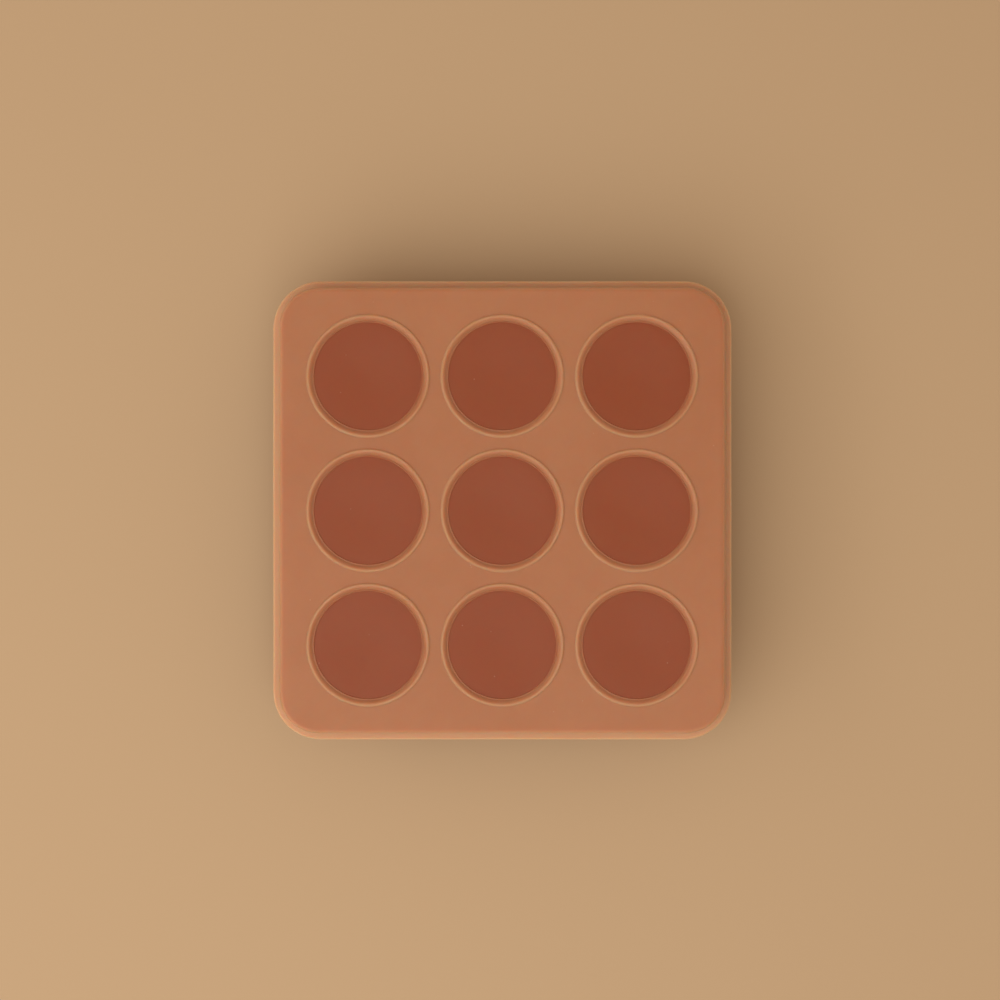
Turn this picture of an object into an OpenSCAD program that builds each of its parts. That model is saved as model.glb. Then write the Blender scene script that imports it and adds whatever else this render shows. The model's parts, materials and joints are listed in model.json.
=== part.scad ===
// Freezer tray for baby food: a square grid of round silicone cups under one lid.
// Millimetres, +Z up. The origin is under the middle of the grid, on the surface that the cups stand on.

/* [Outline] */
// Radius of the outline's corners, seen from above
corner_r = 20; // [14:0.5:30]
// Distance between the outer rings and the outline, seen from above
edge_margin = 14.8; // [12:0.1:30]

/* [Cups] */
// Number of cups along each side of the grid
cups_per_side = 3; // [2:1:4]
// Clear diameter of a cup at its mouth
cup_mouth_d = 48.2; // [38:0.1:70]
// Clear diameter that the tapered wall comes to at the floor
cup_floor_d = 40; // [32:0.1:48]
// Depth of a cup, from the deck's face to its floor
cup_depth = 40; // [26:0.5:70]
// Thickness of a cup's wall
cup_wall = 2; // [1.2:0.1:3]
// Thickness of a cup's floor
floor_t = 2.4; // [1.2:0.1:4]
// Radius inside a cup, between its wall and its floor
cup_bottom_r = 7; // [3:0.5:12]
// Rounding of a cup's mouth, where the wall turns into the deck
mouth_edge_r = 0.8; // [0.4:0.1:1.5]

/* [Tray] */
// Thickness of the deck that joins the cups
deck_t = 2.4; // [1.6:0.1:4]
// Height of the rim that hangs from the deck's edge
rim_h = 12; // [8:0.5:20]
// Thickness of the rim
rim_t = 2.4; // [1.6:0.1:4]
// Thickness of the flange at the rim's foot
flange_t = 2.2; // [1.6:0.1:3]
// How far the flange stands out past the lid's skirt
flange_out = 3.4; // [0:0.1:6]

/* [Lid] */
// Thickness of the lid's face
lid_t = 1.8; // [1.2:0.1:3]
// Thickness of the lid's skirt
skirt_t = 2; // [1.4:0.1:3]
// Rounding outside, between the lid's face and its skirt
edge_r = 1.8; // [0.4:0.1:4]
// Rounding inside, between the lid's face and its skirt
inner_edge_r = 1.4; // [0.7:0.1:4]
// Width of the face between two neighbouring rings
ring_gap = 4.4; // [2.5:0.1:20]
// How far a raised ring reaches over the deck round its cup's mouth
ring_land = 1.5; // [0.8:0.1:3]
// Width of a raised ring
ring_w = 2.9; // [2.4:0.1:4]
// Height of a raised ring over the face
ring_h = 0.6; // [0.4:0.1:2]
// Rounding of a raised ring's outer edge
ring_outer_r = 0.5; // [0.2:0.1:1.1]
// Rounding of a raised ring's inner edge
ring_inner_r = 0.9; // [0.3:0.1:1.1]
// How far the disc inside a ring lies below the face
disc_drop = 0.6; // [0:0.1:1.5]
// Thickness of the disc inside a ring
disc_t = 1.2; // [0.8:0.1:3]
// How far a seal ring reaches into its cup, below the deck's face
seal_h = 3; // [1.5:0.1:6]

/* [Fit] */
// Gap between the lid and the tray, everywhere but at the skirt's foot
fit_gap = 0.3; // [0.15:0.05:0.6]

/* [Hidden] */
$fn = 96;

silicone = "#b5734f";
clear_silicone = "#c4886299";

// Seen from above
ring_d = cup_mouth_d + 2 * ring_land;
pitch = ring_d + ring_gap;
outline_w = (cups_per_side - 1) * pitch + ring_d + 2 * edge_margin;
corner_at = outline_w / 2 - corner_r;
first_cup = -(cups_per_side - 1) * pitch / 2;

// Heights
deck_z = floor_t + cup_depth;
lid_z = deck_z + fit_gap;
face_z = lid_z + lid_t;
disc_z = face_z - disc_drop;
rim_z = deck_z - rim_h;
flange_z = rim_z + flange_t;
seal_z = deck_z - seal_h;

// Rings
ring_inner = ring_d / 2 - ring_w;
seal_w = cup_mouth_d / 2 - fit_gap - ring_inner;
seal_edge_r = 0.5;

// The cup's mouth is straight as far as the seal ring reaches, and a little further
mouth_run = 1.5;
taper_z = seal_z - mouth_run;

// The edge's section, measured outwards from the corner's centre
tray_edge_r = inner_edge_r - fit_gap;
lid_x = corner_r - flange_out;
lid_inner_x = lid_x - skirt_t;
tray_x = lid_inner_x - fit_gap;
rim_x = tray_x - rim_t;
foot_edge_r = 0.6;

// Length by which a cut runs past the solid that it cuts
past = 1;

echo(outline_w = outline_w, height = face_z + ring_h, pitch = pitch);

// A quarter of a disc, with its round side towards +X and +Y
module quarter_disc(r) {
    intersection() {
        circle(r);
        square(r);
    }
}

// A rectangle from the origin to [w, h], with its outer corners rounded: top_r above, foot_r below
module soft_block(w, h, top_r = 0, foot_r = 0) {
    translate([0, foot_r]) square([w, h - foot_r - top_r]);
    if (top_r > 0) {
        translate([0, h - top_r]) square([w - top_r, top_r]);
        translate([w - top_r, h - top_r]) quarter_disc(top_r);
    }
    if (foot_r > 0) {
        square([w - foot_r, foot_r]);
        translate([w - foot_r, foot_r]) mirror([0, 1]) quarter_disc(foot_r);
    }
}

// Takes an edge's section all the way round the outline. The section's x runs outwards from the
// corner's centre, and its y is the height.
module round_the_outline() {
    for (turn = [0:90:270])
        rotate(turn) translate([corner_at, corner_at, 0]) {
            rotate_extrude(angle = 90) children();
            rotate([90, 0, 0]) linear_extrude(2 * corner_at) children();
        }
}

// Fills the square between the four corners' centres
module middle_plate(z, t) {
    translate([-corner_at, -corner_at, z]) cube([2 * corner_at, 2 * corner_at, t]);
}

module at_each_cup() {
    for (i = [0:cups_per_side - 1], j = [0:cups_per_side - 1])
        translate([first_cup + i * pitch, first_cup + j * pitch, 0]) children();
}

// Half the section of a cup that is filled to height top. Its floor is at bottom and grow is the
// thickness that it adds to the cup's clear radius.
module cup_section(bottom, top, grow, bottom_r) {
    mouth = cup_mouth_d / 2 + grow;
    at_floor = cup_floor_d / 2 + grow;
    lean = atan((mouth - at_floor) / (taper_z - bottom));
    bend_x = at_floor + bottom_r * (tan(lean) - 1 / cos(lean));
    bend_steps = 12;
    bend = [
        for (i = [0:bend_steps])
            let (a = -90 + i * (90 - lean) / bend_steps)
                [bend_x + bottom_r * cos(a), bottom + bottom_r * (1 + sin(a))]
    ];
    polygon(concat([[0, bottom]], bend, [[mouth, taper_z], [mouth, top], [0, top]]));
}

module cup_outside() {
    rotate_extrude() cup_section(0, deck_z - deck_t / 2, cup_wall, cup_bottom_r + cup_wall);
}

module cup_hollow() {
    rotate_extrude() cup_section(floor_t, deck_z + past, 0, cup_bottom_r);
    // The rounded edge of the mouth
    rotate_extrude() difference() {
        translate([0, deck_z - mouth_edge_r]) square([cup_mouth_d / 2 + mouth_edge_r, past + mouth_edge_r]);
        translate([cup_mouth_d / 2 + mouth_edge_r, deck_z - mouth_edge_r]) circle(mouth_edge_r);
    }
}

// The tray's edge: the deck's rounded shoulder, the rim and the flange at its foot
module tray_edge_section() {
    difference() {
        translate([0, rim_z]) soft_block(tray_x, rim_h, tray_edge_r);
        translate([-past, rim_z - past]) square([rim_x + past, rim_h - deck_t + past]);
    }
    translate([rim_x, rim_z]) soft_block(corner_r - rim_x, flange_t, foot_edge_r, foot_edge_r);
}

module tray() {
    color(silicone) difference() {
        union() {
            middle_plate(deck_z - deck_t, deck_t);
            round_the_outline() tray_edge_section();
            at_each_cup() cup_outside();
        }
        at_each_cup() cup_hollow();
    }
}

// The lid's edge: the face's rounded shoulder and the skirt
module lid_edge_section() {
    difference() {
        translate([0, flange_z]) soft_block(lid_x, face_z - flange_z, edge_r, foot_edge_r);
        translate([0, flange_z - past]) soft_block(lid_inner_x, lid_z - flange_z + past, inner_edge_r);
    }
}

// Half the section of a raised ring, and of the seal ring that hangs under it
module ring_section() {
    translate([ring_inner + ring_w / 2, lid_z]) {
        soft_block(ring_w / 2, lid_t + ring_h, ring_outer_r);
        mirror([1, 0]) soft_block(ring_w / 2, lid_t + ring_h, ring_inner_r);
    }
    translate([ring_inner, seal_z]) soft_block(seal_w, lid_z - seal_z, 0, seal_edge_r);
}

module lid() {
    color(clear_silicone) {
        difference() {
            union() {
                middle_plate(lid_z, lid_t);
                round_the_outline() lid_edge_section();
            }
            at_each_cup() translate([0, 0, lid_z - past])
                cylinder(r = ring_inner + ring_w / 2, h = lid_t + 2 * past);
        }
        at_each_cup() {
            rotate_extrude() ring_section();
            translate([0, 0, disc_z - disc_t]) cylinder(r = ring_inner + seal_w / 2, h = disc_t);
        }
    }
}

tray();
lid();
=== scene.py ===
# %% [markdown]
# # A silicone freezer tray with its lid on, seen from above
#
# This lesson models two soft mouldings. The tray has nine round cups that hang from a flat deck, and
# the lid is a thin translucent sheet that lies on the deck. The photograph looks straight down, so most of
# what it shows is the lid: a face, nine raised rings, and a darker disc inside each ring.
#
# The frame comes first. It holds the construction model at its real size, in metres, and every
# Blender piece is built in that same space, so nothing has to be fitted afterwards.

import json
import math

import bmesh
import bpy
from mathutils import Matrix, Vector, noise


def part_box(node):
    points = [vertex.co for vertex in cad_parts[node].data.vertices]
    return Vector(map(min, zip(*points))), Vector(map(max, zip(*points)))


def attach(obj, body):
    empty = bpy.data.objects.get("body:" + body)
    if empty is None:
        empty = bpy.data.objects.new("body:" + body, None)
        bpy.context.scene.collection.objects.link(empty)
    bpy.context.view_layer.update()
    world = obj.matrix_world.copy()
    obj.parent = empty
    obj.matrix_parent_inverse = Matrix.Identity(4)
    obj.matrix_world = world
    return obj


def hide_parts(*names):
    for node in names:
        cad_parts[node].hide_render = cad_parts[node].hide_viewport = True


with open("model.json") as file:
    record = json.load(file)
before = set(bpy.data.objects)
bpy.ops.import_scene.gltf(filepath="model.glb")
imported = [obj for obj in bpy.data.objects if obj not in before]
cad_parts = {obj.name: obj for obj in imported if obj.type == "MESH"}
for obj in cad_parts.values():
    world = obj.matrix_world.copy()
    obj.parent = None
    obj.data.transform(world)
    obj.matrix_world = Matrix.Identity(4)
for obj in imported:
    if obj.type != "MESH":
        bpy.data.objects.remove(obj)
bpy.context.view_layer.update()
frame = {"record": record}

# %% [markdown]
# ## Sizes
#
# The overall heights, the outline and the places of the cups are read from the frame. The smaller
# sizes, such as walls and roundings, are the mouldings' own. Those that the tray and the lid share
# come first, and the others stand with each moulding. A maker thinks in millimetres, and Blender here
# in metres, so one factor turns the first into the second.

# %% Sizes that the frame gives
MM = 0.001
tray_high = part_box("tray")[1] / MM
lid_low, lid_high = (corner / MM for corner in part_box("lid"))
outline_half = tray_high.x
flange_out = outline_half - lid_high.x
deck_z = tray_high.z
crest_z = lid_high.z
skirt_z = lid_low.z

cup_boxes = [o["box_m"] for o in frame["record"]["physics"]["openings"] if o["name"].startswith("cup_")]
cup_places = sorted({round((low[0] + high[0]) / 2 / MM, 3) for low, high in cup_boxes})
cup_pitch = cup_places[1] - cup_places[0]
print("cups at", cup_places, "mm each way, pitch", round(cup_pitch, 2))

# %% Sizes that the tray and the lid share, in millimetres
corner_r = 20.0
corner_at = outline_half - corner_r
cup_mouth_r = 24.1
ring_outer = 25.6
lid_gap = 0.3
skirt_t = 2.0
inner_edge_r = 1.4
skirt_outer = corner_r - flange_out
skirt_inner = skirt_outer - skirt_t
lid_z = deck_z + lid_gap
print("the lid lies at", round(lid_z, 2), "mm, and the flange stands out", round(flange_out, 2), "mm past it")

# %% [markdown]
# ## A section with rounded corners
#
# A moulding is easiest to read in section: walk along the cut edge and note where it turns. So each
# section here is a short list of corners, and each corner has its own rounding. The corners become a
# wire, and a vertex bevel rounds them one by one. A curve with handles could draw the same line, but a
# list of corners keeps every height and radius a number that can be measured. On a wire, the bevel's
# offset is the length that it takes off each edge, so a true radius is divided by the tangent of half
# the corner's angle.

# %% Draw a section
def draw_section(corners, steps_per_quarter):
    """A wire in the XZ plane through (across, height, rounding) corners, in millimetres."""
    bm = bmesh.new()
    points = [Vector((across, 0, height)) for across, height, _ in corners]
    verts = [bm.verts.new(p) for p in points]
    for a, b in zip(verts, verts[1:]):
        bm.edges.new((a, b))
    for i, (_, _, radius) in enumerate(corners):
        if radius:
            opening = (points[i - 1] - points[i]).angle(points[i + 1] - points[i])
            turn = (math.pi - opening) / (math.pi / 2)
            bmesh.ops.bevel(bm, geom=[verts[i]], affect="VERTICES", offset_type="OFFSET", profile=0.5,
                            material=-1, offset=radius / math.tan(opening / 2),
                            segments=max(2, round(turn * steps_per_quarter)))
    return bm


# %% [markdown]
# ## One cell of the grid
#
# The tray and the lid both repeat one cell three times each way: something round in the middle of a
# flat square. The round part is a section spun once about the cup's axis. The flat square round it is
# a loop of the same number of vertices, and bridge_loops joins the two. Boolean cuts would be quicker
# to write, but they leave long thin faces round each hollow, and those show in soft light. Building one
# clean cell and copying it also keeps all nine alike, as a mould cut with one cutter does.

# %% Spin a cell and bridge it to its square
STEPS_ROUND = 128
STEPS_SIDE = STEPS_ROUND // 4
FLAT_CUTS = 2
MERGE = 0.01
print("a cell has", STEPS_ROUND, "steps round its cup and", STEPS_SIDE, "along each side")


def spin_cell(corners, steps_per_quarter):
    """A round section spun about the Z axis, and the flat square cell round it."""
    bm = draw_section(corners, steps_per_quarter)
    bmesh.ops.spin(bm, geom=bm.verts[:] + bm.edges[:], cent=(0, 0, 0), axis=(0, 0, 1), dvec=(0, 0, 0),
                   angle=math.tau, steps=STEPS_ROUND, use_merge=True, use_duplicate=False)
    bmesh.ops.remove_doubles(bm, verts=bm.verts, dist=MERGE)
    round_edge = [e for e in bm.edges if e.is_boundary]
    at_height = Matrix.Translation((0, 0, corners[-1][1]))
    grid = bmesh.ops.create_grid(bm, x_segments=1, y_segments=1, size=cup_pitch / 2, matrix=at_height)
    cell = grid["verts"][0].link_faces[0]
    sides = cell.edges[:]
    bmesh.ops.delete(bm, geom=[cell], context="FACES_ONLY")
    bmesh.ops.subdivide_edges(bm, edges=sides, cuts=STEPS_SIDE - 1)
    square = [e for e in bm.edges if not e.link_faces]
    bridge = bmesh.ops.bridge_loops(bm, edges=round_edge + square)
    bmesh.ops.subdivide_edges(bm, edges=bridge["edges"], cuts=FLAT_CUTS, use_grid_fill=True)
    return bm


# %% Copy a part to its places
def add_copies(bm, part, placings):
    """Adds a copy of the part under each placing matrix, and merges the vertices that meet."""
    mesh = bpy.data.meshes.new("part")
    for placing in placings:
        part.to_mesh(mesh)
        mesh.transform(placing)
        bm.from_mesh(mesh)
    part.free()
    bpy.data.meshes.remove(mesh)
    bmesh.ops.remove_doubles(bm, verts=bm.verts, dist=MERGE)


# %% [markdown]
# ## The edge all round
#
# The edge's section goes round a rounded square. A spin of a quarter turn makes a corner, and a spin
# of no angle with a step vector, from the corner's last copy of the section, makes the straight side
# after it. Four such quarters close the edge. A curve with a bevel profile could do it too, but here
# each quarter can have as many steps as one side of the grid, so the two sheets bridge one to one.

# %% Take a section round the outline
CORNER_STEPS = 16
SIDE_STEPS = len(cup_places) * STEPS_SIDE - CORNER_STEPS
print("the edge has", CORNER_STEPS, "steps round a corner and", SIDE_STEPS, "along a side")


def quarter_edge(corners, steps_per_quarter):
    """The edge's section, measured out from the corner's centre, round one corner and along a side."""
    bm = draw_section(corners, steps_per_quarter)
    centre = (corner_at, corner_at, 0)
    bmesh.ops.translate(bm, verts=bm.verts, vec=centre)
    corner = bmesh.ops.spin(bm, geom=bm.verts[:] + bm.edges[:], cent=centre, axis=(0, 0, 1),
                            dvec=(0, 0, 0), angle=math.pi / 2, steps=CORNER_STEPS)
    bmesh.ops.spin(bm, geom=corner["geom_last"], cent=(0, 0, 0), axis=(0, 0, 1),
                   dvec=(-2 * corner_at / SIDE_STEPS, 0, 0), angle=0, steps=SIDE_STEPS)
    return bm


# %% [markdown]
# ## Silicone lies softly
#
# Silicone is soft, so nothing on it is perfectly flat, and a perfectly flat sheet looks like hard
# plastic. Each vertex near the top is moved by a slow noise of up to a quarter of a millimetre. A
# Displace modifier could do this, but the noise is read here, so that the tray and the lid read the
# same one and the lid still lies on the tray. It only moves a vertex down or inwards, so the piece
# stays inside its size.

# %% Move the vertices by slow waves
SOFT_FROM, SOFT_TO = 20.0, 40.0
WAVE_LENGTH = 38.0
WAVE_HEIGHT = 0.25
RIPPLE_LENGTH = 31.0
RIPPLE_DEPTH = 0.22
RIPPLE_BAND = 11.0
RIPPLE_SLICE = 90.0
print("waves up to", WAVE_HEIGHT, "mm high and", WAVE_LENGTH, "mm long")


def ease(value, low, high):
    """0 below low, 1 above high, and smooth in between."""
    t = min(max((value - low) / (high - low), 0), 1)
    return t * t * (3 - 2 * t)


def slow_noise(x, y, slice_at, length):
    """Noise between -1 and 0 that changes slowly over the tray, seen from above."""
    return (noise.noise(Vector((x, y, slice_at)) / length) - 1) / 2


def lie_softly(bm):
    """Moves each vertex down by the waves, and the edge inwards by the ripples."""
    for v in bm.verts:
        x, y, z = v.co
        v.co.z += WAVE_HEIGHT * ease(z, SOFT_FROM, SOFT_TO) * slow_noise(x, y, 0, WAVE_LENGTH)
        near_edge = ease(max(abs(x), abs(y)), outline_half - RIPPLE_BAND, outline_half)
        ripple = RIPPLE_DEPTH * slow_noise(x, y, RIPPLE_SLICE, RIPPLE_LENGTH) * near_edge
        v.co.x += ripple * x / outline_half
        v.co.y += ripple * y / outline_half


# %% [markdown]
# ## From sections to one closed shell
#
# A moulding is three sections: the upper side of a cell, its underside, and the edge. The edge strip
# ends in one loop above and one below, and each is bridged to the sheet of cells at its height. The
# shell is then closed, with a true thickness everywhere, as silicone pressed in a mould has. A sheet
# with a Solidify modifier would be simpler, but its wall would be equally thick in all places.
#
# A rounding that is hidden underneath gets fewer steps than one that is seen, which saves faces.

# %% Close the shell
STEPS_SEEN = 6
STEPS_HIDDEN = 4
print("a rounding has", STEPS_SEEN, "steps where it is seen and", STEPS_HIDDEN, "where it is hidden")


def bridge_sheets(bm, middle_z):
    """Joins the grid's outer edge and the strip's inner edge, above and below."""
    for above in (True, False):
        loops = [e for e in bm.edges if e.is_boundary and (e.verts[0].co.z > middle_z) == above]
        bridge = bmesh.ops.bridge_loops(bm, edges=loops)
        bmesh.ops.subdivide_edges(bm, edges=bridge["edges"], cuts=FLAT_CUTS, use_grid_fill=True)


def mould(name, upper, under, edge, middle_z):
    """One closed moulding from its three sections, as an object at the origin, in metres."""
    bm = bmesh.new()
    cells = [Matrix.Translation((x, y, 0)) for x in cup_places for y in cup_places]
    turns = [Matrix.Rotation(turn * math.pi / 2, 4, "Z") for turn in range(4)]
    add_copies(bm, spin_cell(upper, STEPS_SEEN), cells)
    add_copies(bm, spin_cell(under, STEPS_HIDDEN), cells)
    add_copies(bm, quarter_edge(edge, STEPS_SEEN), turns)
    bridge_sheets(bm, middle_z)
    open_edges = sum(e.is_boundary for e in bm.edges)
    lie_softly(bm)
    bmesh.ops.scale(bm, verts=bm.verts, vec=(MM, MM, MM))
    bmesh.ops.recalc_face_normals(bm, faces=bm.faces)
    for face in bm.faces:
        face.smooth = True
    mesh = bpy.data.meshes.new(name)
    bm.to_mesh(mesh)
    volume_cm3 = bm.calc_volume() / (10 * MM) ** 3
    print(name, len(bm.faces), "faces,", open_edges, "open edges, volume", round(volume_cm3, 1), "cm3")
    bm.free()
    piece = bpy.data.objects.new(name, mesh)
    bpy.context.scene.collection.objects.link(piece)
    even = piece.modifiers.new("flat faces lead", "WEIGHTED_NORMAL")
    even.keep_sharp = False
    return piece


# %% [markdown]
# ## The tray
#
# From the middle of a cup outwards, its upper side is the floor, the rounding into the wall, the leaning
# wall, the short straight run that takes the lid's seal, the rounded mouth and the deck. The underside
# follows it a wall's thickness further out. The edge is the deck's shoulder, the rim, the flange that the lid
# stands on, and the inner side of the rim. The flange is a few millimetres wider than the lid, so from above
# it shows as a thin band all round, made paler by a painted glow. A mould closes along it, and a hairline of
# rubber is always left there: the low ridge in the middle of its edge.
#
# The cup's floor is cut into a few loops, so that the flat middle is not one fan of long triangles.
# Each section runs on for a short lead after its last rounding, and the bridge starts on the flat.

# %% Sizes of the tray, in millimetres
cup_floor_r = 20.0
cup_wall = 2.0
cup_bottom_r = 7.0
floor_t = 2.4
floor_loops = (0, 6, 11)
deck_t = 2.4
deck_under = deck_z - deck_t
deck_fillet = 1.0
mouth_edge_r = 0.8
straight_run = 4.5
taper_z = deck_z - straight_run
soft_bend = 6.0
rim_drop = 12.0
rim_t = 2.4
rim_foot = deck_z - rim_drop
rim_outer = skirt_inner - lid_gap
rim_inner = rim_outer - rim_t
shoulder_r = inner_edge_r - lid_gap
flange_t = 2.2
flange_top = rim_foot + flange_t
flange_middle = rim_foot + flange_t / 2
foot_edge = 0.6
seam_out = 0.15
seam_half = 0.12
flange_outer = corner_r - seam_out
under_lead = 0.2
edge_lead = 0.4
print("deck from", round(deck_under, 2), "to", round(deck_z, 2), "mm, flange at", round(flange_top, 2), "mm")

# %% Mould the tray
tray_upper = [(across, floor_t, 0) for across in floor_loops] + [
    (cup_floor_r, floor_t, cup_bottom_r),
    (cup_mouth_r, taper_z, soft_bend),
    (cup_mouth_r, deck_z, mouth_edge_r),
    (ring_outer, deck_z, 0),
]
tray_under = [(across, 0, 0) for across in floor_loops] + [
    (cup_floor_r + cup_wall, 0, cup_bottom_r + cup_wall),
    (cup_mouth_r + cup_wall, taper_z, soft_bend),
    (cup_mouth_r + cup_wall, deck_under, deck_fillet),
    (cup_mouth_r + cup_wall + deck_fillet + under_lead, deck_under, 0),
]
tray_edge = [
    (rim_outer - shoulder_r - edge_lead, deck_z, 0),
    (rim_outer, deck_z, shoulder_r),
    (rim_outer, flange_top, foot_edge),
    (flange_outer, flange_top, foot_edge),
    (flange_outer, flange_middle + seam_half, 0),
    (corner_r, flange_middle, 0),
    (flange_outer, flange_middle - seam_half, 0),
    (flange_outer, rim_foot, foot_edge),
    (rim_inner, rim_foot, foot_edge),
    (rim_inner, deck_under, deck_fillet),
    (rim_inner - deck_fillet - edge_lead, deck_under, 0),
]
tray = mould("tray_moulding", tray_upper, tray_under, tray_edge, deck_z - deck_t / 2)

# %% [markdown]
# ## The lid
#
# The photograph shows each ring as a bright line near its outer edge that fades inwards, and then a
# second, finer line. So the ring has a short steep outer flank, a narrow crest and a long slope on the
# inside, which ends in a shallow groove and a thin lip round the disc. The disc lies a little lower than
# the face and sags by about half a millimetre. Under each ring hangs the seal that reaches into the
# cup's mouth, and a skirt all round reaches down to the flange.
#
# The rings could be extruded from the face and bevelled, but their two flanks differ, and a section
# simply states both.

# %% Sizes of the lid, in millimetres
lid_t = 1.8
edge_r = 1.8
ring_h = 0.6
ring_w = 2.9
ring_inner = ring_outer - ring_w
ring_fillet = 0.4
ring_flank = 0.45
ring_lean = 1.5
ring_inner_edge = 1.2
ring_outer_edge = 0.35
groove_h = 0.2
lip_w = 0.3
lip_h = 0.32
lip_lean = 0.25
lip_edge = 0.08
disc_drop = 0.6
disc_t = 1.2
disc_sag = 0.6
disc_loops = (0.0, 0.25, 0.5, 0.75, 0.9)
seal_h = 3.0
seal_z = deck_z - seal_h
seal_outer = cup_mouth_r - lid_gap
seal_edge = 0.4
skirt_draft = 0.2
skirt_foot_edge = 0.15
stand_clear = 0.04
cell_lead = 0.3
face_z = crest_z - ring_h
disc_z = face_z - disc_drop
disc_under = disc_z - disc_t
print("face at", round(face_z, 2), "mm, discs at", round(disc_z, 2), "mm, rings", ring_h, "mm high")

# %% Mould the lid
def sagging_disc(height):
    """The disc's half section: lowest in its middle, level where it meets the ring."""
    edge = ring_inner - 2 * (lip_w + lip_lean)
    return [(share * edge, height - disc_sag * (1 - share ** 2) ** 2, 0) for share in disc_loops]


lid_upper = sagging_disc(disc_z) + [
    (ring_inner - lip_w - lip_lean, disc_z, lip_edge),
    (ring_inner - lip_w, disc_z + lip_h, lip_edge),
    (ring_inner, disc_z + lip_h, lip_edge),
    (ring_inner + lip_lean, disc_z + groove_h, lip_edge),
    (ring_inner + ring_lean, crest_z, ring_inner_edge),
    (ring_outer - ring_flank, crest_z, ring_outer_edge),
    (ring_outer, face_z, ring_fillet),
    (ring_outer + ring_fillet + cell_lead, face_z, 0),
]
lid_under = sagging_disc(disc_under) + [
    (ring_inner, disc_under, seal_edge),
    (ring_inner, seal_z, seal_edge),
    (seal_outer, seal_z, seal_edge),
    (seal_outer, lid_z, seal_edge),
    (seal_outer + seal_edge + cell_lead, lid_z, 0),
]
lid_edge = [
    (skirt_outer - edge_r - edge_lead, face_z, 0),
    (skirt_outer - skirt_draft, face_z, edge_r),
    (skirt_outer, skirt_z + stand_clear, skirt_foot_edge),
    (skirt_inner, skirt_z + stand_clear, seal_edge),
    (skirt_inner, lid_z, inner_edge_r),
    (skirt_inner - inner_edge_r - edge_lead, lid_z, 0),
]
lid = mould("lid_moulding", lid_upper, lid_under, lid_edge, lid_z + lid_t / 2)

# %% [markdown]
# ## Shader maths as plain expressions
#
# A node tree is hard to read as a list of links. So one small class holds a socket, and its operators
# add the Math nodes: mask * 0.5 + 1 becomes two nodes. Any other kind of node comes from its one method,
# which sets the node's own settings first and then its inputs.

# %% A socket that can be used in sums
# The Mix node has its own sockets for each kind of data, and these are the ones for colours
MIX_FACTOR, MIX_FIRST, MIX_SECOND, MIX_RESULT = 0, 6, 7, 2


class Socket:
    """An output of a node tree, or the bare tree, with operators that add Math nodes."""

    def __init__(self, tree, socket=None):
        self.tree = tree
        self.socket = socket

    def node(self, kind, settings=None, inputs=None, output=0):
        """Adds a node: its settings first, then values or links for its inputs. Returns one output."""
        made = self.tree.nodes.new("ShaderNode" + kind)
        for name, value in (settings or {}).items():
            setattr(made, name, value)
        for name, value in (inputs or {}).items():
            if isinstance(value, Socket):
                self.tree.links.new(value.socket, made.inputs[name])
            else:
                made.inputs[name].default_value = value
        if isinstance(output, tuple):
            return [Socket(self.tree, made.outputs[name]) for name in output]
        return Socket(self.tree, made.outputs[output]) if made.outputs else None

    def math(self, operation, *values):
        return self.node("Math", {"operation": operation}, dict(enumerate(values)))

    def __add__(self, other):
        return self.math("ADD", self, other)

    def __sub__(self, other):
        return self.math("SUBTRACT", self, other)

    def __rsub__(self, other):
        return self.math("SUBTRACT", other, self)

    def __mul__(self, other):
        return self.math("MULTIPLY", self, other)

    def __truediv__(self, other):
        return self.math("DIVIDE", self, other)

    __radd__ = __add__
    __rmul__ = __mul__

    def between(self, low, high):
        """A smooth step from 0 at low to 1 at high."""
        return self.node("MapRange", {"interpolation_type": "SMOOTHSTEP"},
                         {"Value": self, "From Min": low, "From Max": high})

    def blend(self, first, second):
        """The first colour where this mask is 0, the second where it is 1."""
        return self.node("Mix", {"data_type": "RGBA"},
                         {MIX_FACTOR: self, MIX_FIRST: first, MIX_SECOND: second}, output=MIX_RESULT)


print("sockets can be added, subtracted, multiplied and divided")

# %% [markdown]
# ## The colours
#
# The rubber has the colour of fired clay all through, because the pigment is mixed in before it is
# moulded. What differs from place to place is how much light comes back out. The lid is the same rubber
# in a thin sheet. Over the deck its light comes straight back, and over a cup it is lost in the hollow,
# so the discs look deeper than the face. Where the rubber thins out to an edge, light passes through
# it, and it looks paler.
#
# Layers of tinted glass could show all this by themselves, but they render slowly, and an exported model
# loses them. So the light is painted into the colour instead. There is one clay and a cloudier one, a deeper
# clay that is painted shade of the hollow under each disc, and a paler clay that is painted glow where light
# comes through thin rubber and a painted highlight on the rings' crests. Masks say where each of them
# belongs.

# %% Mix the colours
def srgb(red, green, blue):
    """A colour as a picture editor shows it, 0 to 255, as the linear colour that Blender reads."""
    def linear(level):
        share = level / 255
        return share / 12.92 if share <= 0.04045 else ((share + 0.055) / 1.055) ** 2.4
    return (linear(red), linear(green), linear(blue), 1)


clay = srgb(188, 126, 90)
cloudy_clay = srgb(192, 132, 96)
# The deeper clay is painted shade: the dark hollow under each disc, seen through the lid.
hollow_shade_clay = srgb(160, 81, 46)
# The paler clay is painted light: a glow where light comes through thin rubber, and a highlight on the rings'
# crests.
painted_light_clay = srgb(198, 158, 122)
dust_grey = srgb(214, 184, 160)
print("clay as linear light:", [round(share, 3) for share in clay[:3]])

# %% [markdown]
# ## The patterns in the rubber
#
# Matte silicone is quiet, so its detail is small: the pigment is a little cloudy, the mould's blasted
# surface leaves a fine grain, handling leaves smoother patches, and a few specks of dust stick to it.
# Painted images could hold this, but noise needs no unwrapping and stays sharp close by. The noises
# read Object coordinates, in metres, so the scale is about the number of blobs in a metre, and a pattern
# stays on the lid when the lid is lifted.

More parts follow.
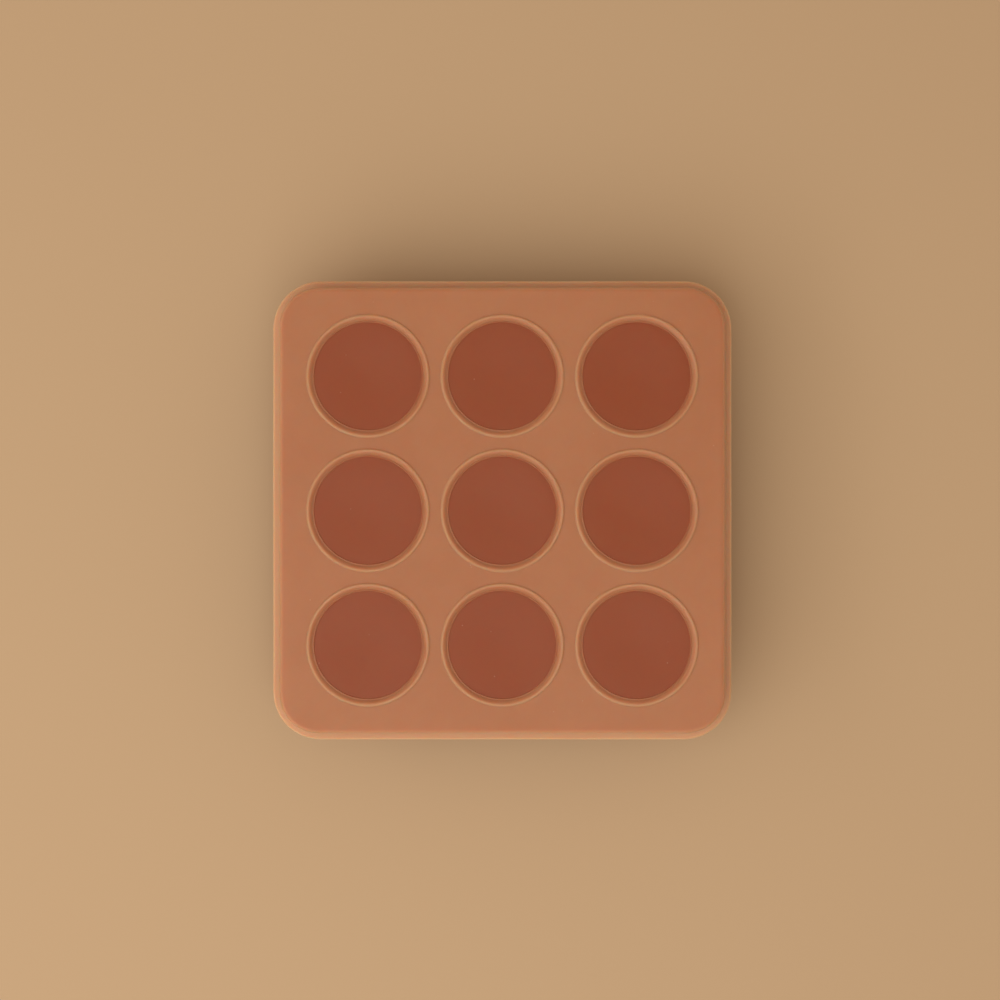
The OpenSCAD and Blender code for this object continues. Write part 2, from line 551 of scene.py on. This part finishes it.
# %% Blobs and specks of dust
CLOUDS_PER_M = 16.0
MOTTLE_PER_M = 95.0
PATCHES_PER_M = 38.0
GRAIN_PER_M = 1900.0
SPECKS_PER_M = 260.0
SPECK_CORE, SPECK_RIM = 0.04, 0.10
DUSTY_PER_M = 170.0
DUSTY_FROM, DUSTY_TO = 0.70, 0.76
print("clouds about", round(1000 / CLOUDS_PER_M), "mm wide, grain about", round(1000 / GRAIN_PER_M, 2), "mm")


def blobs(tree, place, per_metre, detail, roughness=0.5, distortion=0.0):
    """Noise with about per_metre blobs in a metre, mostly between 0.3 and 0.7."""
    return tree.node("TexNoise", inputs={"Vector": place, "Scale": per_metre, "Detail": detail,
                                         "Roughness": roughness, "Distortion": distortion})


def dust_specks(tree, place):
    """1 on small round specks, kept only where a slower noise is high, so that most places are clean."""
    away = tree.node("TexVoronoi", inputs={"Vector": place, "Scale": SPECKS_PER_M}, output="Distance")
    dusty = blobs(tree, place, DUSTY_PER_M, detail=0.0)
    return away.between(SPECK_RIM, SPECK_CORE) * dusty.between(DUSTY_FROM, DUSTY_TO)


# %% [markdown]
# ## The silicone
#
# Both mouldings have one recipe. Light goes some way into silicone before it comes out again, red
# further than green and blue, and subsurface scattering gives that. A little sheen stands for the light
# that skims over the blasted surface. The lid also lets some light right through, and its alpha gives
# that without the cost of glass. Its rings catch the light as a smoother surface does, so a mask
# polishes them.

# %% One recipe for silicone
CLOUD_SHARE = 0.65
BLOB_LOW, BLOB_HIGH = 0.35, 0.65
PATCH_LOW, PATCH_HIGH = 0.3, 0.7
DUST_COVER = 0.35
MATTE = 0.36
PATCH_MATTE = 0.06
DUST_MATTE = 0.3
POLISH = 0.2
GRAIN_SHARE = 0.5
BUMP_STRENGTH = 0.22
BUMP_HEIGHT = 0.06 * MM
GLOW_DEPTH = 5.0 * MM
print("roughness about", MATTE, "and", round(MATTE - POLISH, 2), "where it is polished")


def new_material(name):
    """An empty material, and its bare tree to add nodes to."""
    material = bpy.data.materials.new(name)
    material.use_nodes = True
    material.node_tree.nodes.clear()
    return material, Socket(material.node_tree)


def silicone(name, alpha=1.0, shade=None, thin=None, smooth=None):
    """Matte silicone. shade is a mask for painted shade, thin for painted glow and painted highlight, and
    smooth for polished places.
    """
    material, tree = new_material(name)
    place = tree.node("TexCoord", output="Object")
    clouds = blobs(tree, place, CLOUDS_PER_M, detail=3.0).between(BLOB_LOW, BLOB_HIGH)
    mottle = blobs(tree, place, MOTTLE_PER_M, detail=4.0, roughness=0.55)
    patches = blobs(tree, place, PATCHES_PER_M, detail=5.0, roughness=0.6, distortion=0.4)
    grain = blobs(tree, place, GRAIN_PER_M, detail=2.0, roughness=0.6)
    dust = dust_specks(tree, place)

    cloudy = CLOUD_SHARE * clouds + (1 - CLOUD_SHARE) * mottle.between(BLOB_LOW, BLOB_HIGH)
    colour = cloudy.blend(clay, cloudy_clay)
    if shade is not None:
        colour = shade(tree, place).blend(colour, hollow_shade_clay)
    if thin is not None:
        colour = thin(tree, place).blend(colour, painted_light_clay)
    colour = (DUST_COVER * dust).blend(colour, dust_grey)

    roughness = MATTE + PATCH_MATTE * patches.between(PATCH_LOW, PATCH_HIGH) + DUST_MATTE * dust
    if smooth is not None:
        roughness = roughness - POLISH * smooth(tree, place)
    height = GRAIN_SHARE * grain + (1 - GRAIN_SHARE) * mottle + dust
    bump = tree.node("Bump", inputs={"Strength": BUMP_STRENGTH, "Distance": BUMP_HEIGHT, "Height": height})

    shader = tree.node("BsdfPrincipled", {"subsurface_method": "RANDOM_WALK"}, {
        "Base Color": colour, "Roughness": roughness, "Normal": bump, "Alpha": alpha,
        "IOR": 1.41, "Specular IOR Level": 0.5,
        "Subsurface Weight": 0.85, "Subsurface Radius": (1.0, 0.42, 0.22), "Subsurface Scale": GLOW_DEPTH,
        "Sheen Weight": 0.12, "Sheen Roughness": 0.45, "Sheen Tint": (1.0, 0.82, 0.7, 1)})
    tree.node("OutputMaterial", inputs={"Surface": shader})
    return material


# %% [markdown]
# ## Where painted shade, painted light and polish go
#
# The masks could be painted on the vertices, but the places all follow from the sections. So each mask
# is worked out in the shader from one of two distances, both seen from above: how far a place is from
# the axis of the nearest cup, and how far it is past the square through the corners' centres, which is
# how the edge's section is measured too. The bands stay sharp however coarse the mesh is.

# %% Measure the two distances
OUTERMOST = (len(cup_places) - 1) // 2
print("the cups' columns are numbered from", -OUTERMOST, "to", OUTERMOST)


def seen_from_above(tree, place, measure):
    """The distance that has measure(x) and measure(y) as its two parts, in metres."""
    x, y = (measure(value) for value in tree.node("SeparateXYZ", inputs={"Vector": place}, output=("X", "Y")))
    return tree.math("SQRT", x * x + y * y)


def nearest_cup(tree, place):
    """Distance from the axis of the nearest cup, in metres."""
    def from_column(value):
        column = tree.math("ROUND", value / (cup_pitch * MM))
        column = tree.math("MAXIMUM", tree.math("MINIMUM", column, OUTERMOST), -OUTERMOST)
        return value - column * (cup_pitch * MM)
    return seen_from_above(tree, place, from_column)


def past_the_corners(tree, place):
    """How far a place is outside the square through the four corners' centres, in metres."""
    def past_centre(value):
        return tree.math("MAXIMUM", tree.math("ABSOLUTE", value) - corner_at * MM, 0.0)
    return seen_from_above(tree, place, past_centre)


# %% Make masks of them
# A band lists where it starts to show, is full, starts to fade and is gone, in millimetres. A rise
# lists only the first two.
# The disc and lip numbers shape the painted shade over the cups. The crest and edge numbers set the painted
# highlight and the painted glow.
DISC_FADE = 0.5
LIP_BAND = [ring_inner + across for across in (-0.6, -0.3, -0.1, 0.2)]
LIP_LESS_SHADE = 0.3
RING_BAND = [ring_inner, ring_inner + 0.4, ring_outer, ring_outer + 0.3]
CREST_BAND = [ring_outer + across for across in (-1.6, -0.7, -0.1, 0.2)]
CREST_HIGHLIGHT = 0.6
EDGE_RISE = [skirt_outer - 2.0, skirt_outer - 0.1]
EDGE_HEIGHTS = [face_z - 3.5, face_z - 1.2]
EDGE_GLOW = 0.8
FLANGE_RISE = [rim_outer, skirt_outer + 0.5]
print("the crests are paler from", round(CREST_BAND[0], 2), "to", round(CREST_BAND[-1], 2), "mm from an axis")


def rise(value, low, high):
    """A mask that goes from 0 at low to 1 at high, both in millimetres."""
    return value.between(low * MM, high * MM)


def band(value, empty, full, falling, gone):
    """A mask that rises from empty to full and falls from falling to gone, all in millimetres."""
    return rise(value, empty, full) * rise(value, gone, falling)


def painted_hollow_shade(tree, place):
    """Painted shade of the hollow under each disc: 1 on the discs, fading out up the rings' inner slope, 0
    elsewhere. The lip round the disc gets less of it.
    """
    away = nearest_cup(tree, place)
    return rise(away, ring_inner + DISC_FADE, ring_inner - DISC_FADE) * (1 - LIP_LESS_SHADE * band(away, *LIP_BAND))


def on_a_ring(tree, place):
    """1 on the rings' flanks and crests, 0 elsewhere."""
    return band(nearest_cup(tree, place), *RING_BAND)


def painted_light_on_the_lid(tree, place):
    """Painted highlight on the rings' outer edges, and painted glow on the lid's rounded edge, where light
    comes through.
    """
    crest = band(nearest_cup(tree, place), *CREST_BAND)
    height = tree.node("SeparateXYZ", inputs={"Vector": place}, output="Z")
    edge = rise(past_the_corners(tree, place), *EDGE_RISE) * rise(height, *EDGE_HEIGHTS)
    return tree.math("MAXIMUM", CREST_HIGHLIGHT * crest, EDGE_GLOW * edge)


def painted_glow_on_the_tray(tree, place):
    """Painted glow of light coming through: 1 on the flange that stands out past the lid, 0 elsewhere."""
    return rise(past_the_corners(tree, place), *FLANGE_RISE)


# %% [markdown]
# ## Finish the two mouldings
#
# Each moulding takes the place of its construction solid, rides on the same body, and gets its finish. The
# tray is solid clay with a painted glow on its flange. The lid is the same clay with painted shade on the
# discs, painted glow on its edges, a painted highlight and polish on the rings, and one fifth of the light
# passes through it.

# %% Finish the two mouldings
# thin= paints glow and highlight into the colour, and shade= paints the hollows' shade.
tray_silicone = silicone("clay silicone", thin=painted_glow_on_the_tray)
lid_silicone = silicone("translucent clay silicone", alpha=0.8, shade=painted_hollow_shade,
                        thin=painted_light_on_the_lid, smooth=on_a_ring)
for piece, body, slot, material in (
    (tray, "tray", "tray_silicone", tray_silicone),
    (lid, "lid", "lid_silicone", lid_silicone),
):
    piece.data.materials.append(material)
    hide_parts(body)
    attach(piece, body)
    print(piece.name, "rides on", body, "and has", len(material.node_tree.nodes), "nodes")

# %% [markdown]
# ## The floor
#
# A plain warm beige floor is all that the tray needs to stand on. One flat grid gives it, wide enough to
# fill the picture, and rough, so that it takes the soft shadow and shows no reflection. A backdrop that
# curves up is the usual studio answer, but a camera that looks straight down would not see it.

# %% Lay the floor
FLOOR_HALF = 4.0
FLOOR_COLOUR = srgb(187, 160, 130)

floor_mesh = bpy.data.meshes.new("floor")
bm = bmesh.new()
bmesh.ops.create_grid(bm, x_segments=1, y_segments=1, size=FLOOR_HALF)
bm.to_mesh(floor_mesh)
bm.free()
floor = bpy.data.objects.new("floor", floor_mesh)
bpy.context.scene.collection.objects.link(floor)
floor_paint, tree = new_material("pale floor")
shader = tree.node("BsdfPrincipled", inputs={"Base Color": FLOOR_COLOUR, "Roughness": 0.85,
                                             "Specular IOR Level": 0.2})
tree.node("OutputMaterial", inputs={"Surface": shader})
floor.data.materials.append(floor_paint)
print("floor", 2 * FLOOR_HALF, "m wide")

# %% [markdown]
# ## The light
#
# The light in the photograph is soft and warm, and the shadow falls to the upper right. So a large panel
# hangs above, a little to the lower left, and a long low strip on the left stands for a window and draws
# the rings' edges. A sun lamp would give the same direction, but with a hard shadow. An even warm room
# fills in, and together they light the object at a level at which a colour renders about as it is
# written.

# %% Light it
ROOM_COLOUR = (1.0, 0.8, 0.6, 1)
ROOM_STRENGTH = 0.62

world = bpy.data.worlds.new("soft room")
bpy.context.scene.world = world
world.use_nodes = True
world.node_tree.nodes["Background"].inputs["Color"].default_value = ROOM_COLOUR
world.node_tree.nodes["Background"].inputs["Strength"].default_value = ROOM_STRENGTH


def soft_light(name, place, width, height, power, colour):
    """A rectangular area light that looks at the middle of the tray, in metres and watts."""
    light = bpy.data.lights.new(name, "AREA")
    light.shape = "RECTANGLE"
    light.size = width
    light.size_y = height
    light.energy = power
    light.color = colour
    lamp = bpy.data.objects.new(name, light)
    lamp.location = place
    lamp.rotation_euler = Vector(place).to_track_quat("Z", "Y").to_euler()
    bpy.context.scene.collection.objects.link(lamp)
    print(name, power, "W,", round(Vector(place).length, 2), "m away")


soft_light("overhead panel", place=(-0.4, -0.6, 1.15), width=1.7, height=1.7, power=11.8,
           colour=(0.98, 1.0, 0.95))
soft_light("window", place=(-1.0, -0.3, 0.78), width=2.2, height=0.35, power=3.8,
           colour=(1.0, 0.95, 0.88))

# %% [markdown]
# ## The camera
#
# The photograph looks straight down, and the picture is 1000 pixels wide. Two things are measured in
# it: the width that it shows at the height of the lid's face, and the pixel that the tray's middle
# falls on. The camera could be tilted until the middle falls there, but then the tray would no longer
# look square. So it is moved sideways instead. Its distance sets the perspective, and the lens follows
# from the distance and the width.

# %% Place the camera straight above
PICTURE_PX = 1000
picture_mm = 413.5
seen_from = 1100.0
tray_at = Vector((502.3, 510.5))
lens_sensor = 36.0

camera_data = bpy.data.cameras.new("camera")
camera_data.sensor_width = lens_sensor
camera_data.lens = lens_sensor * (seen_from - face_z) / picture_mm
camera = bpy.data.objects.new("camera", camera_data)
middle = Vector((PICTURE_PX / 2, PICTURE_PX / 2))
aside = (middle - tray_at) * picture_mm / PICTURE_PX
camera.location = (aside.x * MM, -aside.y * MM, seen_from * MM)
bpy.context.scene.collection.objects.link(camera)
bpy.context.scene.camera = camera
bpy.context.scene.view_settings.view_transform = "Standard"
print("lens", round(camera_data.lens, 1), "mm, camera at", [round(v, 4) for v in camera.location])
